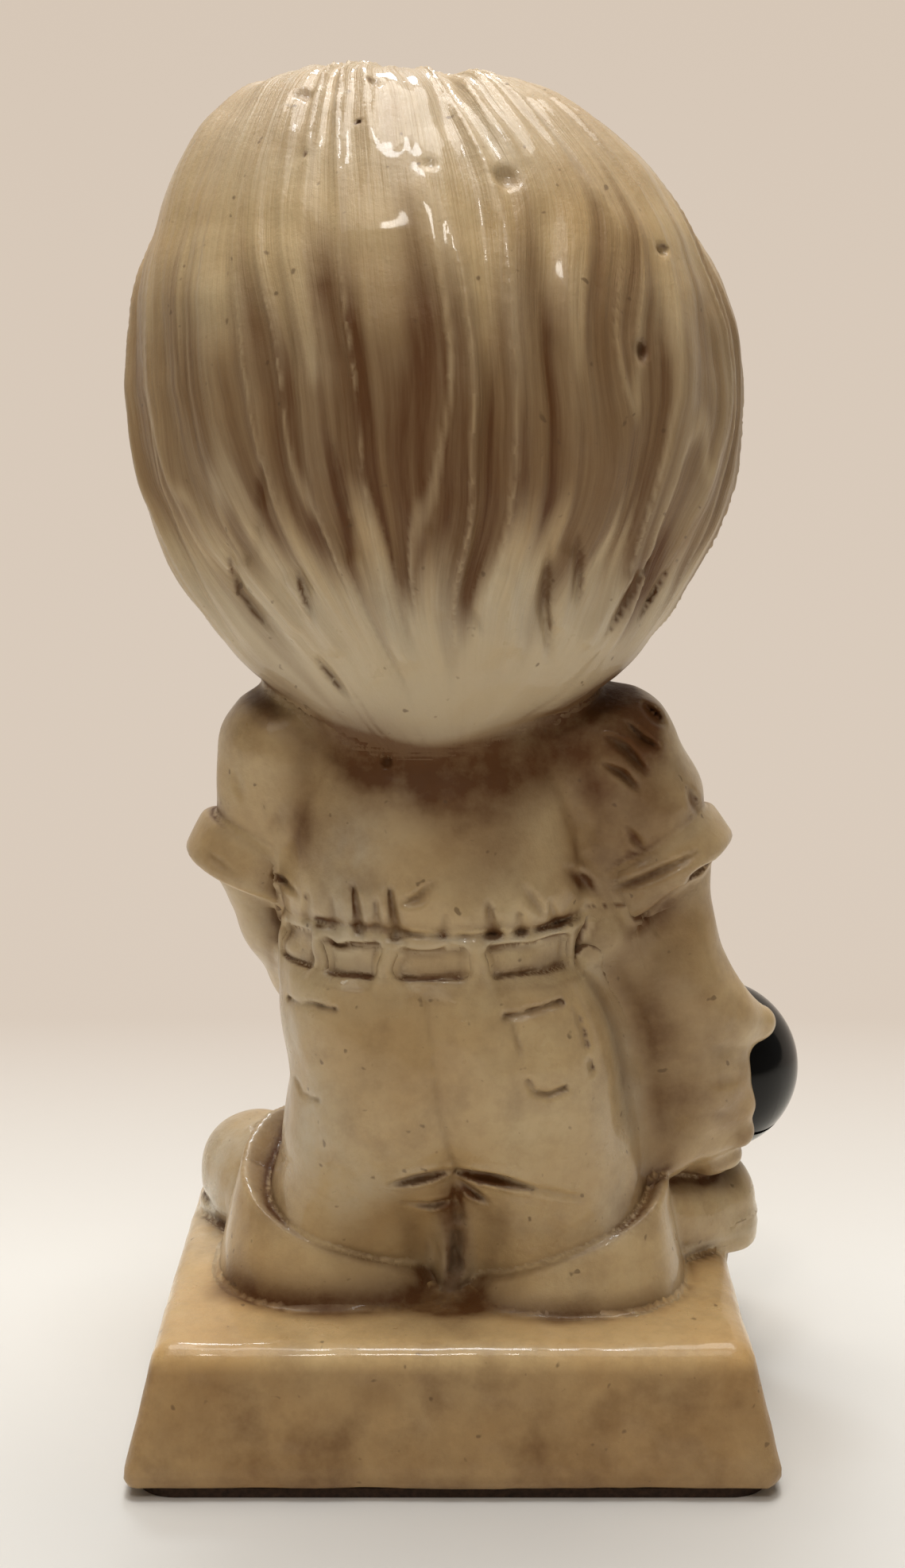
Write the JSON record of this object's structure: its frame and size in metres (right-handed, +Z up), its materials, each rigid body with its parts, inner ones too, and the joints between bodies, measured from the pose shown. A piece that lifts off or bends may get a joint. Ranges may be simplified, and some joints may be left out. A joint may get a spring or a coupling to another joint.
{
  "type": "resin figurine",
  "caption": "Cast resin figurine of a standing child with a mop of hair, jeans and rolled sleeves, holding a small glossy ball at the hip, on a tapered plinth with a pad under it.",
  "frame": {"origin": "centre of the underside of the pad, where the figurine stands", "axes": "+Z up; the figure faces -Y and its left side is +X, so the picture looks along -Y at its back"},
  "size_m": [0.0715, 0.0568, 0.1398],
  "materials": {
    "resin": "ivory cast resin with a brown antique wash in the creases and a thin satin varnish",
    "ball_plastic": "black moulded plastic, polished",
    "pad_felt": "dark brown flocked pad",
    "pin_steel": "cut wire"
  },
  "bodies": {
    "root": {"base_pad": "pad_felt", "plinth": "resin", "left_sole": "resin", "right_sole": "resin", "left_shoe": "resin", "right_shoe": "resin", "left_turn_up": "resin", "right_turn_up": "resin", "jeans": "resin", "waistband": "resin", "belt": "resin", "belt_loops": "resin", "belt_buckle": "resin", "shirt": "resin", "shirt_collar": "resin", "shirt_buttons": "resin", "left_sleeve": "resin", "right_sleeve": "resin", "left_sleeve_cuff": "resin", "right_sleeve_cuff": "resin", "left_forearm": "resin", "right_forearm": "resin", "right_hand": "resin", "face": "resin", "hair": "resin", "ball_upper_shell": "ball_plastic", "ball_lower_shell": "ball_plastic", "ball_pin": "pin_steel"}
  },
  "joints": []
}
